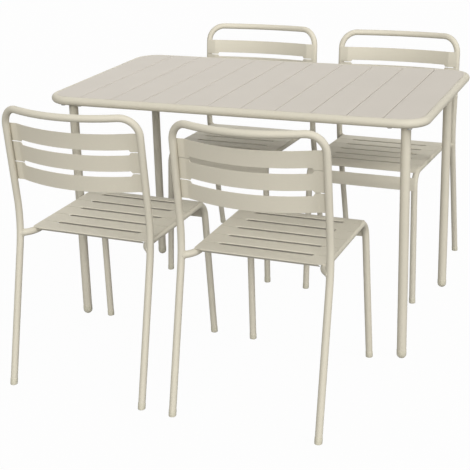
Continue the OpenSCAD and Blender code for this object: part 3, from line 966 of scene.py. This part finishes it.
class PATIO_OT_leg_bolts(PatioOperator, bpy.types.Operator):
    """Make the hexagon bolts that hold the legs"""

    bl_idname = "patio.leg_bolts"
    bl_label = "Leg Bolts"

    def execute(self, context):
        pattern = bpy.data.meshes.new("bolt_pattern")
        pattern.from_pydata([
            leg_place(leg) @ (FLANGE_MIDDLE + Vector((x, y, 0)) * BOLT_PITCH / 2)
            for leg in LEGS for x in (-1, 1) for y in (-1, 1)
        ], [], [])
        bolt = new_object("bolt_shape", self.bolt())
        bolts = grown("leg_bolt_set", bolt_tree, pattern, ZINC, Fastener=bolt)
        bpy.data.objects.remove(bolt)
        bolts.data.set_sharp_from_angle(angle=math.radians(25))
        settle(bolts, "table", ZINC, ["leg_bolts"])
        return {"FINISHED"}

    def bolt(self):
        """A hexagon bolt with a pressed washer face, its head down and its washer face at 0."""
        radius = BOLT_D / 2
        end = FLANGE_T + CORNER_T + BOLT_OVER
        flat = HEAD_R * math.cos(math.pi / 6)

        def hexagon(z):
            def ring(turn):
                sector = (turn + math.pi / 6) % (math.pi / 3) - math.pi / 6
                return circle(min(flat / math.cos(sector), HEAD_R), z)(turn)
            return ring

        rings = [
            Vector((0, 0, -HEAD_H)), circle(flat - HEAD_CHAMFER, -HEAD_H), circle(flat, CONE_H - HEAD_H),
            hexagon(HEAD_CHAMFER - HEAD_H), hexagon(-WASHER_H), circle(flat, -WASHER_H), circle(flat, 0),
            circle(radius, 0), circle(radius, end - END_CHAMFER), circle(radius - 0.8 * END_CHAMFER, end),
            Vector((0, 0, end)),
        ]
        mesh = turned("bolt_shape", rings, sides=36)
        mesh.transform(Matrix.Scale(MM, 4))
        return mesh


# In millimetres: the rounding of a cap's upper rim and of a sleeve's foot, and the play round the tube.
CAP_ROUND = 0.5
FOOT_ROUND = 2
CAP_PLAY = 0.02


class PATIO_OT_foot_caps(PatioOperator, bpy.types.Operator):
    """Make the moulded caps on the feet of the table and the chairs"""

    bl_idname = "patio.foot_caps"
    bl_label = "Foot Caps"

    def execute(self, context):
        domes = []
        for leg in LEGS:
            place = leg_place(leg)
            dome = turned("dome", self.dome())
            dome.transform(place)
            if place.is_negative:
                dome.flip_normals()
            domes.append(dome)
        caps = new_object("table_foot_caps", joined("table_foot_caps", domes))
        settle(caps, "table", PLASTIC, ["leg_caps"])
        for chair in CHAIRS:
            sleeves = []
            for side in SIDES.values():
                for foot, following in ((rear_foot, knee), (front_foot, front_corner)):
                    sleeve = turned("sleeve", self.sleeve(foot(side), following(side)))
                    sleeve.transform(chair_place(chair))
                    sleeves.append(sleeve)
            caps = new_object(f"foot_sleeves_{chair}", joined(f"foot_sleeves_{chair}", sleeves))
            settle(caps, f"chair_{chair}", PLASTIC, [f"foot_caps_{chair}"])
        return {"FINISHED"}

    def rim(self, tube_r, high, floor):
        """The radius and the height of the points from under a cap's rim to its floor inside, at the tube."""
        outer, inner = tube_r + CAP_WALL, tube_r + CAP_PLAY
        part = 0.3 * CAP_ROUND
        return [
            (outer, high - CAP_ROUND), (outer - part, high - part), (outer - 0.9 * CAP_ROUND, high),
            (inner, high), (inner, floor),
        ]

    def dome(self):
        """Rings of a domed cap that stands on a small flat."""
        radius = LEG_R + CAP_WALL
        centre = math.sqrt(radius**2 - LEG_CAP_FLAT**2)
        start = math.asin(LEG_CAP_FLAT / radius)
        turns = spread(start, math.pi / 2, 12)
        outline = [(radius * math.sin(turn), centre - radius * math.cos(turn)) for turn in turns]
        outline += self.rim(LEG_R, LEG_CAP_H, LEG_CAP_FLOOR)
        return [Vector((0, 0, 0)), *(circle(r, z) for r, z in outline), Vector((0, 0, LEG_CAP_FLOOR))]

    def sleeve(self, foot, following):
        """Rings of a sleeve round a tilted tube, cut flat by the floor and rounded at both ends."""
        axis = (following - foot).normalized()
        across = axis.cross(Vector((1, 0, 0))).normalized()
        beside = axis.cross(across)
        radius = TUBE_R + CAP_WALL

        def edge(r, turn):
            return foot - (across * math.cos(turn) + beside * math.sin(turn)) * r

        def ring(r, along):
            return lambda turn: edge(r, turn) + axis * along

        def level(r, z):
            def point(turn):
                start = edge(r, turn)
                return start + axis * ((z - start.z) / axis.z)
            return point

        rounds = [
            level(radius - FOOT_ROUND * (1 - math.sin(a)), FOOT_ROUND * (1 - math.cos(a)))
            for a in spread(0, math.pi / 2, 5)
        ]
        rim = [ring(r, along) for r, along in self.rim(TUBE_R, FOOT_CAP_H, FOOT_CAP_FLOOR)]
        return [foot, *rounds, *rim, foot + axis * FOOT_CAP_FLOOR]


# ---- operators: the chairs ----


class PATIO_OT_chair_tubes(PatioOperator, bpy.types.Operator):
    """Make the bent tubes of the chairs: a back hoop and two side tubes each"""

    bl_idname = "patio.chair_tubes"
    bl_label = "Chair Tubes"

    def execute(self, context):
        for chair in CHAIRS:
            place = chair_place(chair)
            body = f"chair_{chair}"
            start = [tube_start(rear_foot(side), knee(side)) for side in (1, -1)]
            corners = [start[0], knee(1), hoop_corner(1), hoop_middle(), hoop_corner(-1), knee(-1), start[1]]
            bends = [0, KNEE_R, CORNER_R, BOW_R, CORNER_R, KNEE_R, 0]
            make_tube(f"hoop_tube_{chair}", body, corners, bends, place, TUBE_D, [f"back_hoop_{chair}"])
            for name, side in SIDES.items():
                start = tube_start(front_foot(side), front_corner(side))
                stub = (stub_joint(side) - rear_corner(side)).normalized()
                corners = [start, front_corner(side), rear_corner(side), stub_joint(side) - stub * STUB_SHORT]
                nodes = [f"side_tube_{name}_{chair}"]
                bends = [0, FRONT_R, STUB_R, 0]
                make_tube(f"seat_tube_{name}_{chair}", body, corners, bends, place, TUBE_D, nodes)
        return {"FINISHED"}


def cut_back(x, window, depth):
    """How far the edge of a slat is cut back at x: by its depth over the window, with soft shoulders."""
    past = (abs(x) - window) / depth
    if past >= 1:
        return 0
    return depth if past <= 0 else depth * (1 + math.cos(math.pi * past)) / 2


def shoulders(window, depth):
    """The places along a slat where the soft shoulder of its window needs a point."""
    return [window + depth * part for part in spread(0, 1, 6)]


# Half the width of the fold at each end of a back slat, in millimetres.
FOLD_EASE = 1.6


class PATIO_OT_back_slats(PatioOperator, bpy.types.Operator):
    """Make the bowed slats of the chair backs"""

    bl_idname = "patio.back_slats"
    bl_label = "Back Slats"

    def execute(self, context):
        window = HOOP_X - SLAT_EAR
        depth = (SLAT_GAP - SLIT_W) / 2
        end = HOOP_X + SLAT_TAB_OVER
        fold = [FOLD_X + part for part in (-FOLD_EASE, 0, FOLD_EASE)]
        columns = spread(0, window, 16) + shoulders(window, depth) + fold + spread(FOLD_X + 6, end, 3)
        for chair in CHAIRS:
            place = back_place(chair)
            for i, name in enumerate(BACK_SLATS):
                high = BACK_TOP - i * (SLAT_H + SLAT_GAP)
                low = high - SLAT_H
                over = depth if i > 0 else 0
                under = depth if i < len(BACK_SLATS) - 1 else 0

                def rows(x):
                    cut = cut_back(x, window, depth)
                    below = low - under + (cut if under else 0)
                    above = high + over - (cut if over else 0)
                    return spread(below, above, 6)

                face = sheet_mesh(
                    "slat", both_sides(columns), rows, lambda x, z: place @ Vector((x, self.plan(x), z)),
                )
                slat = new_object(f"bowed_slat_{name}_{chair}", face)
                make_sheet(slat, SHEET_T)
                settle(slat, f"chair_{chair}", SHEET, [f"back_slat_{name}_{chair}"])
        return {"FINISHED"}

    def plan(self, x):
        """Where the rear face of a slat is at x: flat on the uprights, bowed to the rear between folds."""
        past = abs(x) - FOLD_X
        bow = TUBE_R - SLAT_BOW + SLAT_BACK_R - math.sqrt(max(SLAT_BACK_R**2 - x**2, 0))
        if past >= FOLD_EASE:
            return TUBE_R
        if past <= -FOLD_EASE:
            return bow
        # Half way round the fold the sheet runs a little inside the sharp corner.
        slope = FOLD_X / math.sqrt(SLAT_BACK_R**2 - FOLD_X**2)
        return TUBE_R - slope * FOLD_EASE / 4 if abs(past) < NEAR else min(bow, TUBE_R)


# The lips along the slots and the rear edge of the seat, which are plain and upright in the frame, are folded
# here and lean in under their slat by LIP_LEAN. In millimetres: the outer radius of the fold, how far the lip
# reaches down, the length of the notch at its ends, and how far under the fold its first row of points is.
LIP_R = 1.7
LIP_H = 11.5
LIP_NOTCH = 0.8
LIP_HOLD = 0.2
LIP_LEAN = math.radians(56)
# How much more the folded edge of a slot is cut back than the plain one in the frame, in millimetres.
SLOT_EASE = 1
# How far the ends of the front slat come in, from where behind the bend and over which length, likewise.
DRAW_IN = 6
DRAW_START = 12
DRAW_RUN = 30


class PATIO_OT_seat_slats(PatioOperator, bpy.types.Operator):
    """Make the flat seat slats, the front slat that wraps round the bends, and the apron"""

    bl_idname = "patio.seat_slats"
    bl_label = "Seats and Aprons"

    def execute(self, context):
        window = PLATE_X - SLOT_INSET
        depth = (SLOT_W - SLIT_W) / 2 + SLOT_EASE
        slot_end = window + depth
        inner = spread(0, window, 8) + shoulders(window, depth) + [slot_end + LIP_NOTCH]
        columns = both_sides(inner + spread(window + 2 * depth, PLATE_X, 3))
        corner = [PLATE_X - SEAT_CORNER_R * (1 - math.sin(a)) for a in spread(0, math.pi / 2, 8)]
        rear_columns = both_sides(inner + [SEAT_LIP_X, SEAT_LIP_X + LIP_NOTCH, SEAT_LIP_X + 5] + corner)
        rear_start = SLOT_FRONT + (FLAT_SLATS - 1) * SEAT_PITCH

        def behind(slot):
            """The front edge of the slat behind a slot."""
            return lambda x: slot + SLIT_W / 2 + cut_back(x, window, depth)

        def before(slot):
            """The rear edge of the slat before a slot."""
            return lambda x: slot - SLIT_W / 2 - cut_back(x, window, depth)

        def rear_edge(x):
            """The rear edge of the seat, round at its corners."""
            past = max(abs(x) - PLATE_X + SEAT_CORNER_R, 0)
            return SEAT_RUN - SEAT_CORNER_R + math.sqrt(SEAT_CORNER_R**2 - past**2)

        first = (behind(SLOT_FRONT), -1, slot_end), (before(SLOT_FRONT + SEAT_PITCH), 1, slot_end)
        last = (behind(rear_start), -1, slot_end), (rear_edge, 1, SEAT_LIP_X)
        wrap = (lambda x: -WRAP_ANGLE * BEND_OUT_R, -1, 0), (before(SLOT_FRONT), 1, slot_end)
        bottom = -FRONT_TURN * BEND_OUT_R - APRON_FLAT
        apron = (lambda x: bottom, -1, 0), (lambda x: -APRON_START * BEND_OUT_R, 1, 0)
        apron_columns = both_sides(spread(0, APRON_X, 8))

        for chair in CHAIRS:
            place = seat_place(chair)
            body = f"chair_{chair}"
            step = place.to_3x3() @ Vector((0, -SEAT_PITCH, 0))
            row = grown(
                f"seat_row_{chair}", row_tree, self.face(place, columns, first, 4), SHEET,
                Count=FLAT_SLATS - 1, Step=step,
            )
            rear = new_object(f"seat_rear_slat_{chair}", self.face(place, rear_columns, last, 4))
            front = new_object(f"seat_front_slat_{chair}", self.face(place, columns, wrap, 20))
            below = new_object(f"front_apron_{chair}", self.face(place, apron_columns, apron, 24))
            for piece in (row, rear, front, below):
                make_sheet(piece, SHEET_T)
                settle(piece, body, SHEET, [f"apron_{chair}"] if piece == below else [])
            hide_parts(f"seat_slats_{chair}")
        return {"FINISHED"}

    def face(self, place, columns, edges, steps):
        """The underside of a slat. Its front and its rear edge each have their place at x, their way, and the
        half width of the lip along them, which is 0 where they have none."""
        def limit(x, edge, way, half):
            """Where the flat of the sheet ends at x, short of the edge where a fold takes over."""
            return edge(x) - way * LIP_R if abs(x) < half + NEAR and half else edge(x)

        def strip(columns, rows):
            return sheet_mesh("slat", columns, rows, lambda x, row: place @ self.point(x, *row))

        front, rear = edges
        parts = [strip(columns, lambda x: [(v, 0) for v in spread(limit(x, *front), limit(x, *rear), steps)])]
        for edge, way, half in edges:
            if half:
                inside = [x for x in columns if abs(x) < half + NEAR]
                parts.append(strip(inside, lambda x: self.lip(edge(x), way)))
        return joined("slat", parts)

    def lip(self, edge, way):
        """Rows of a lip that is folded down along an edge, from the front to the rear."""
        inner = LIP_R - SHEET_T
        rows = [
            (edge - way * (LIP_R - inner * math.sin(turn)), inner * (math.cos(turn) - 1))
            for turn in spread(0, math.pi / 2 + LIP_LEAN, 5)
        ]
        v, height = rows[-1]
        for drop in (LIP_HOLD, LIP_H + height):
            rows.append((v - way * drop * math.tan(LIP_LEAN), height - drop))
        return rows[::way]

    def point(self, x, v, height):
        """A point on the underside of the seat's sheet, v behind the front bend. Where v is negative, the
        sheet goes round that bend and down the front leg."""
        if v < -FRONT_TURN * BEND_OUT_R:
            end = Vector((math.sin(FRONT_TURN), math.cos(FRONT_TURN)))
            along = Vector((math.cos(FRONT_TURN), -math.sin(FRONT_TURN)))
            y, z = end * BEND_OUT_R + along * (-v - FRONT_TURN * BEND_OUT_R)
            return Vector((x, y, z - FRONT_R))
        if v > -WRAP_ANGLE * BEND_OUT_R - NEAR:
            x = self.drawn_in(x, v)
        if v < 0 and not height:
            turn = -v / BEND_OUT_R
            return Vector((x, BEND_OUT_R * math.sin(turn), BEND_OUT_R * math.cos(turn) - FRONT_R))
        return Vector((x, -v, TUBE_R + height))

    def drawn_in(self, x, v):
        """Brings the ends of the front slat in as it starts round the bend, so that they lie on the tubes."""
        part = min(max((DRAW_START - v) / DRAW_RUN, 0), 1)
        reach = PLATE_X - DRAW_IN * (1 - math.cos(math.pi * part)) / 2
        return min(max(x, -reach), reach)


# In millimetres: the radius at which rays for the stub's weld run beside its axis, how far a bead on a back
# slat or a rail ends short of its corners, the length of a bead under the seat, and its distance from the
# rail's axis.
STUB_RAY_R = 9.7
WELD_END = 5
RAIL_END = 2
SEAT_TACK = 26
SEAT_TACK_X = 5
# How far the middle of a bead lies off the line where its parts meet: under a flange, beside thin sheet, on a
# tube and at an apron. The last is the angle round the bend that an apron's bead starts under its edge.
FLANGE_BEAD = 0.5
SHEET_BEAD = 0.3
TUBE_BEAD = 0.6
APRON_BEAD = 0.2
APRON_BEAD_START = 0.08


def line(place, start, end, steps):
    """An open path from a point to a point, in the millimetres of a place."""
    return [place @ start.lerp(end, part) for part in spread(0, 1, steps)], False


class PATIO_OT_welds(PatioOperator, bpy.types.Operator):
    """Lay the weld beads of the table and the chairs"""

    bl_idname = "patio.welds"
    bl_label = "Weld Beads"

    def execute(self, context):
        details = context.scene.patio_details
        self.bead("table_welds", "table", self.table_paths(), details.weld_width)
        for chair in CHAIRS:
            body = f"chair_{chair}"
            self.bead(f"stub_welds_{chair}", body, self.stub_paths(chair), details.weld_width)
            self.bead(f"slat_welds_{chair}", body, self.slat_paths(chair), details.tack_width)
        return {"FINISHED"}

    def bead(self, name, body, paths, width):
        """One piece of beads along paths, each of them its points and whether it closes."""
        paths = [(path, closed, [0 if closed else 1] * len(path)) for path, closed in paths]
        ripple = bpy.context.scene.patio_details.weld_ripple
        beads = grown(name, weld_tree, path_mesh(name, paths, "open"), TUBE, Width=width, Ripple=ripple)
        settle(beads, body, TUBE)

    def table_paths(self):
        """Round each leg under its flange, along each corner plate inside the rim, and across the ends of the
        rails."""
        paths = []
        inward = LEG_INSET - RIM_CORNER
        round_leg = circle(LEG_R, FLANGE_Z - FLANGE_BEAD)
        # The lower face of a corner plate meets the rim on this radius, inside the corner.
        round_corner = circle(RIM_CORNER - rim_inside(MOUNT_Z), MOUNT_Z - SHEET_BEAD)
        for leg in LEGS:
            place = leg_place(leg)
            paths.append(([place @ round_leg(turn) for turn in spread(0, 2 * math.pi, 36)[:-1]], True))
            corner = place @ Matrix.Translation((inward, inward, 0))
            paths.append(([corner @ round_corner(turn) for turn in spread(0, math.pi / 2, 24)], False))
        bottom = PLANK_BOTTOM - RAIL_H
        x = TABLE_L / 2 - rim_inside(bottom) - TUBE_BEAD
        half = Vector((0, RAIL_W / 2 - RAIL_END, 0))
        for side, end in CORNERS:
            middle = Vector((end * x, side * RAIL_SPAN / 2, bottom + SHEET_BEAD))
            paths.append(line(table_place(), middle - half, middle + half, 8))
        return paths

    def stub_paths(self, chair):
        """Round each stub, where rays along its wall strike the upright."""
        place = chair_place(chair)
        hoop = frame["nodes"][f"back_hoop_{chair}"].data
        tree = BVHTree.FromPolygons([v.co for v in hoop.vertices], [p.vertices for p in hoop.polygons])
        paths = []
        for side in SIDES.values():
            axis = (stub_joint(side) - rear_corner(side)).normalized()
            across = Vector((0, 0, 1))
            beside = axis.cross(across)
            start = stub_joint(side) - axis * 2 * TUBE_D
            ring = []
            for turn in spread(0, 2 * math.pi, 48)[:-1]:
                edge = (across * math.cos(turn) + beside * math.sin(turn)) * STUB_RAY_R
                aim = (place.to_3x3() @ axis).normalized()
                struck = tree.ray_cast(place @ (start + edge), aim)[0]
                if struck is None:
                    raise ValueError(f"a weld ray of chair {chair} misses the upright")
                ring.append(struck)
            paths.append((ring, True))
        return paths

    def slat_paths(self, chair):
        """Down the outer edge of each back slat's ends, under the ends of the seat slats, and on the ends of
        the apron."""
        paths = []
        back, seat = back_place(chair), seat_place(chair)
        tab_y = math.sqrt(TUBE_R**2 - SLAT_TAB_OVER**2) + SHEET_BEAD
        for side in SIDES.values():
            for i in range(len(BACK_SLATS)):
                high = BACK_TOP - i * (SLAT_H + SLAT_GAP) - WELD_END
                low = high - SLAT_H + 2 * WELD_END
                x = side * (HOOP_X + SLAT_TAB_OVER + SHEET_BEAD)
                paths.append(line(back, Vector((x, tab_y, low)), Vector((x, tab_y, high)), 4))
            for i in range(FLAT_SLATS):
                middle = SLOT_FRONT + (i + 0.5) * SEAT_PITCH
                for reach in (-SEAT_TACK_X, SEAT_TACK_X):
                    z = math.sqrt(TUBE_R**2 - reach**2) + TUBE_BEAD
                    place = Vector((side * RAIL_X + reach, -middle, z))
                    half = Vector((0, SEAT_TACK / 2, 0))
                    paths.append(line(seat, place - half, place + half, 4))
            radius = BEND_OUT_R - 2 * APRON_BEAD
            x = side * (APRON_X + APRON_BEAD)
            paths.append(([
                seat @ Vector((x, radius * math.sin(turn), radius * math.cos(turn) - FRONT_R))
                for turn in spread(APRON_START + APRON_BEAD_START, FRONT_TURN, 10)
            ], False))
        return paths


# ---- operators: the stage ----


WHITE = (1, 1, 1, 1)
# How far the floor reaches from the middle, in metres, and how bright it is to the camera.
FLOOR_REACH = 60
FLOOR_GLOW = 1.08
SENSOR_W = 36
# The ways to the key light on the right, to the light from the front and to the weaker one from behind.
LIGHTS = {"key": (0.75, -0.15, 0.65), "front": (0.25, -0.92, 0.3), "back": (-0.45, 0.75, 0.5)}


class PATIO_OT_stage(PatioOperator, bpy.types.Operator):
    """Set the floor, the even light, the three soft lights and the camera"""

    bl_idname = "patio.stage"
    bl_label = "Stage"

    def execute(self, context):
        stage = context.scene.patio_stage
        self.floor(stage)
        self.light(context.scene, stage)
        self.camera(context.scene, stage)
        view = context.scene.view_settings
        view.view_transform = "Standard"
        return {"FINISHED"}

    def seen(self, tree):
        """1 for the rays that show the background: from the camera, a gloss or a glass."""
        path = add(tree, "ShaderNodeLightPath").outputs
        gloss = maths(tree, "MAXIMUM", path["Is Camera Ray"], path["Is Glossy Ray"])
        return maths(tree, "MAXIMUM", gloss, path["Is Transmission Ray"])

    def mix(self, tree, end, part, real, white):
        """Ends a tree with what lights the set and, by a part, the white that the camera sees instead."""
        mixed = add(tree, "ShaderNodeMixShader", {0: part, 1: real.outputs[0], 2: white.outputs[0]})
        add(tree, end, {"Surface": mixed.outputs[0]})

    def floor(self, stage):
        """A matt floor that the camera sees almost white, with a little of the shadow on it."""
        mesh = bpy.data.meshes.new("floor")
        mesh.from_pydata([(x * FLOOR_REACH, y * FLOOR_REACH, 0) for x, y in CORNERS], [], [(0, 1, 2, 3)])
        material = bpy.data.materials.new("matt studio floor")
        tree = bare_tree(material)
        matt = add(tree, "ShaderNodeBsdfDiffuse", {"Color": (*stage.floor_colour, 1)})
        white = add(tree, "ShaderNodeEmission", {"Color": WHITE, "Strength": FLOOR_GLOW})
        part = maths(tree, "MULTIPLY", self.seen(tree), 1 - stage.floor_shade)
        self.mix(tree, "ShaderNodeOutputMaterial", part, matt, white)
        mesh.materials.append(material)
        new_object("floor", mesh)

    def light(self, scene, stage):
        """The even light from all round, and three soft suns."""
        scene.world = bpy.data.worlds.new("studio")
        tree = bare_tree(scene.world)
        fill = add(tree, "ShaderNodeBackground", {"Color": WHITE, "Strength": stage.fill_strength})
        white = add(tree, "ShaderNodeBackground", {"Color": WHITE, "Strength": 1})
        self.mix(tree, "ShaderNodeOutputWorld", self.seen(tree), fill, white)
        for name, way in LIGHTS.items():
            sun = bpy.data.lights.new(name, "SUN")
            sun.energy = getattr(stage, f"{name}_strength")
            sun.angle = stage.sun_angle
            lamp = bpy.data.objects.new(name, sun)
            scene.collection.objects.link(lamp)
            lamp.rotation_euler = Vector(way).to_track_quat("Z", "Y").to_euler()

    def camera(self, scene, stage):
        """The camera at its place, turned, pitched and rolled."""
        data = bpy.data.cameras.new("camera")
        data.sensor_width = SENSOR_W
        data.lens = stage.camera_lens
        data.shift_y = stage.camera_shift
        camera = bpy.data.objects.new("camera", data)
        scene.collection.objects.link(camera)
        look = Euler((math.pi / 2 - stage.camera_pitch, 0, stage.camera_turn)).to_matrix()
        turn = look @ Matrix.Rotation(stage.camera_roll, 3, "Z")
        camera.matrix_world = Matrix.Translation(stage.camera_place) @ turn.to_4x4()
        scene.camera = camera


# ---- panel and registration ----

STEPS = (
    PATIO_OT_table_tubes, PATIO_OT_planks, PATIO_OT_under_top, PATIO_OT_leg_bolts, PATIO_OT_foot_caps,
    PATIO_OT_chair_tubes, PATIO_OT_back_slats, PATIO_OT_seat_slats, PATIO_OT_welds, PATIO_OT_stage,
)
GROUPS = {"patio_finish": PatioFinish, "patio_details": PatioDetails, "patio_stage": PatioStage}


class PATIO_PT_set(bpy.types.Panel):
    """The settings and the pieces of the patio set"""

    bl_idname = "PATIO_PT_set"
    bl_label = "Patio Set"
    bl_space_type = "VIEW_3D"
    bl_region_type = "UI"
    bl_category = "Patio Set"

    def draw(self, context):
        for name, group in GROUPS.items():
            box = self.layout.box()
            for setting in group.__annotations__:
                box.prop(getattr(context.scene, name), setting)
        for step in STEPS:
            self.layout.operator(step.bl_idname)


def register():
    for made in (*GROUPS.values(), *STEPS, PATIO_PT_set):
        bpy.utils.register_class(made)
    for name, group in GROUPS.items():
        setattr(bpy.types.Scene, name, PointerProperty(type=group))


def unregister():
    for name in GROUPS:
        delattr(bpy.types.Scene, name)
    for made in (PATIO_PT_set, *reversed(STEPS), *reversed(GROUPS.values())):
        bpy.utils.unregister_class(made)


def main():
    register()
    for step in STEPS:
        family, name = step.bl_idname.split(".")
        getattr(getattr(bpy.ops, family), name)()


if __name__ == "__main__":
    main()
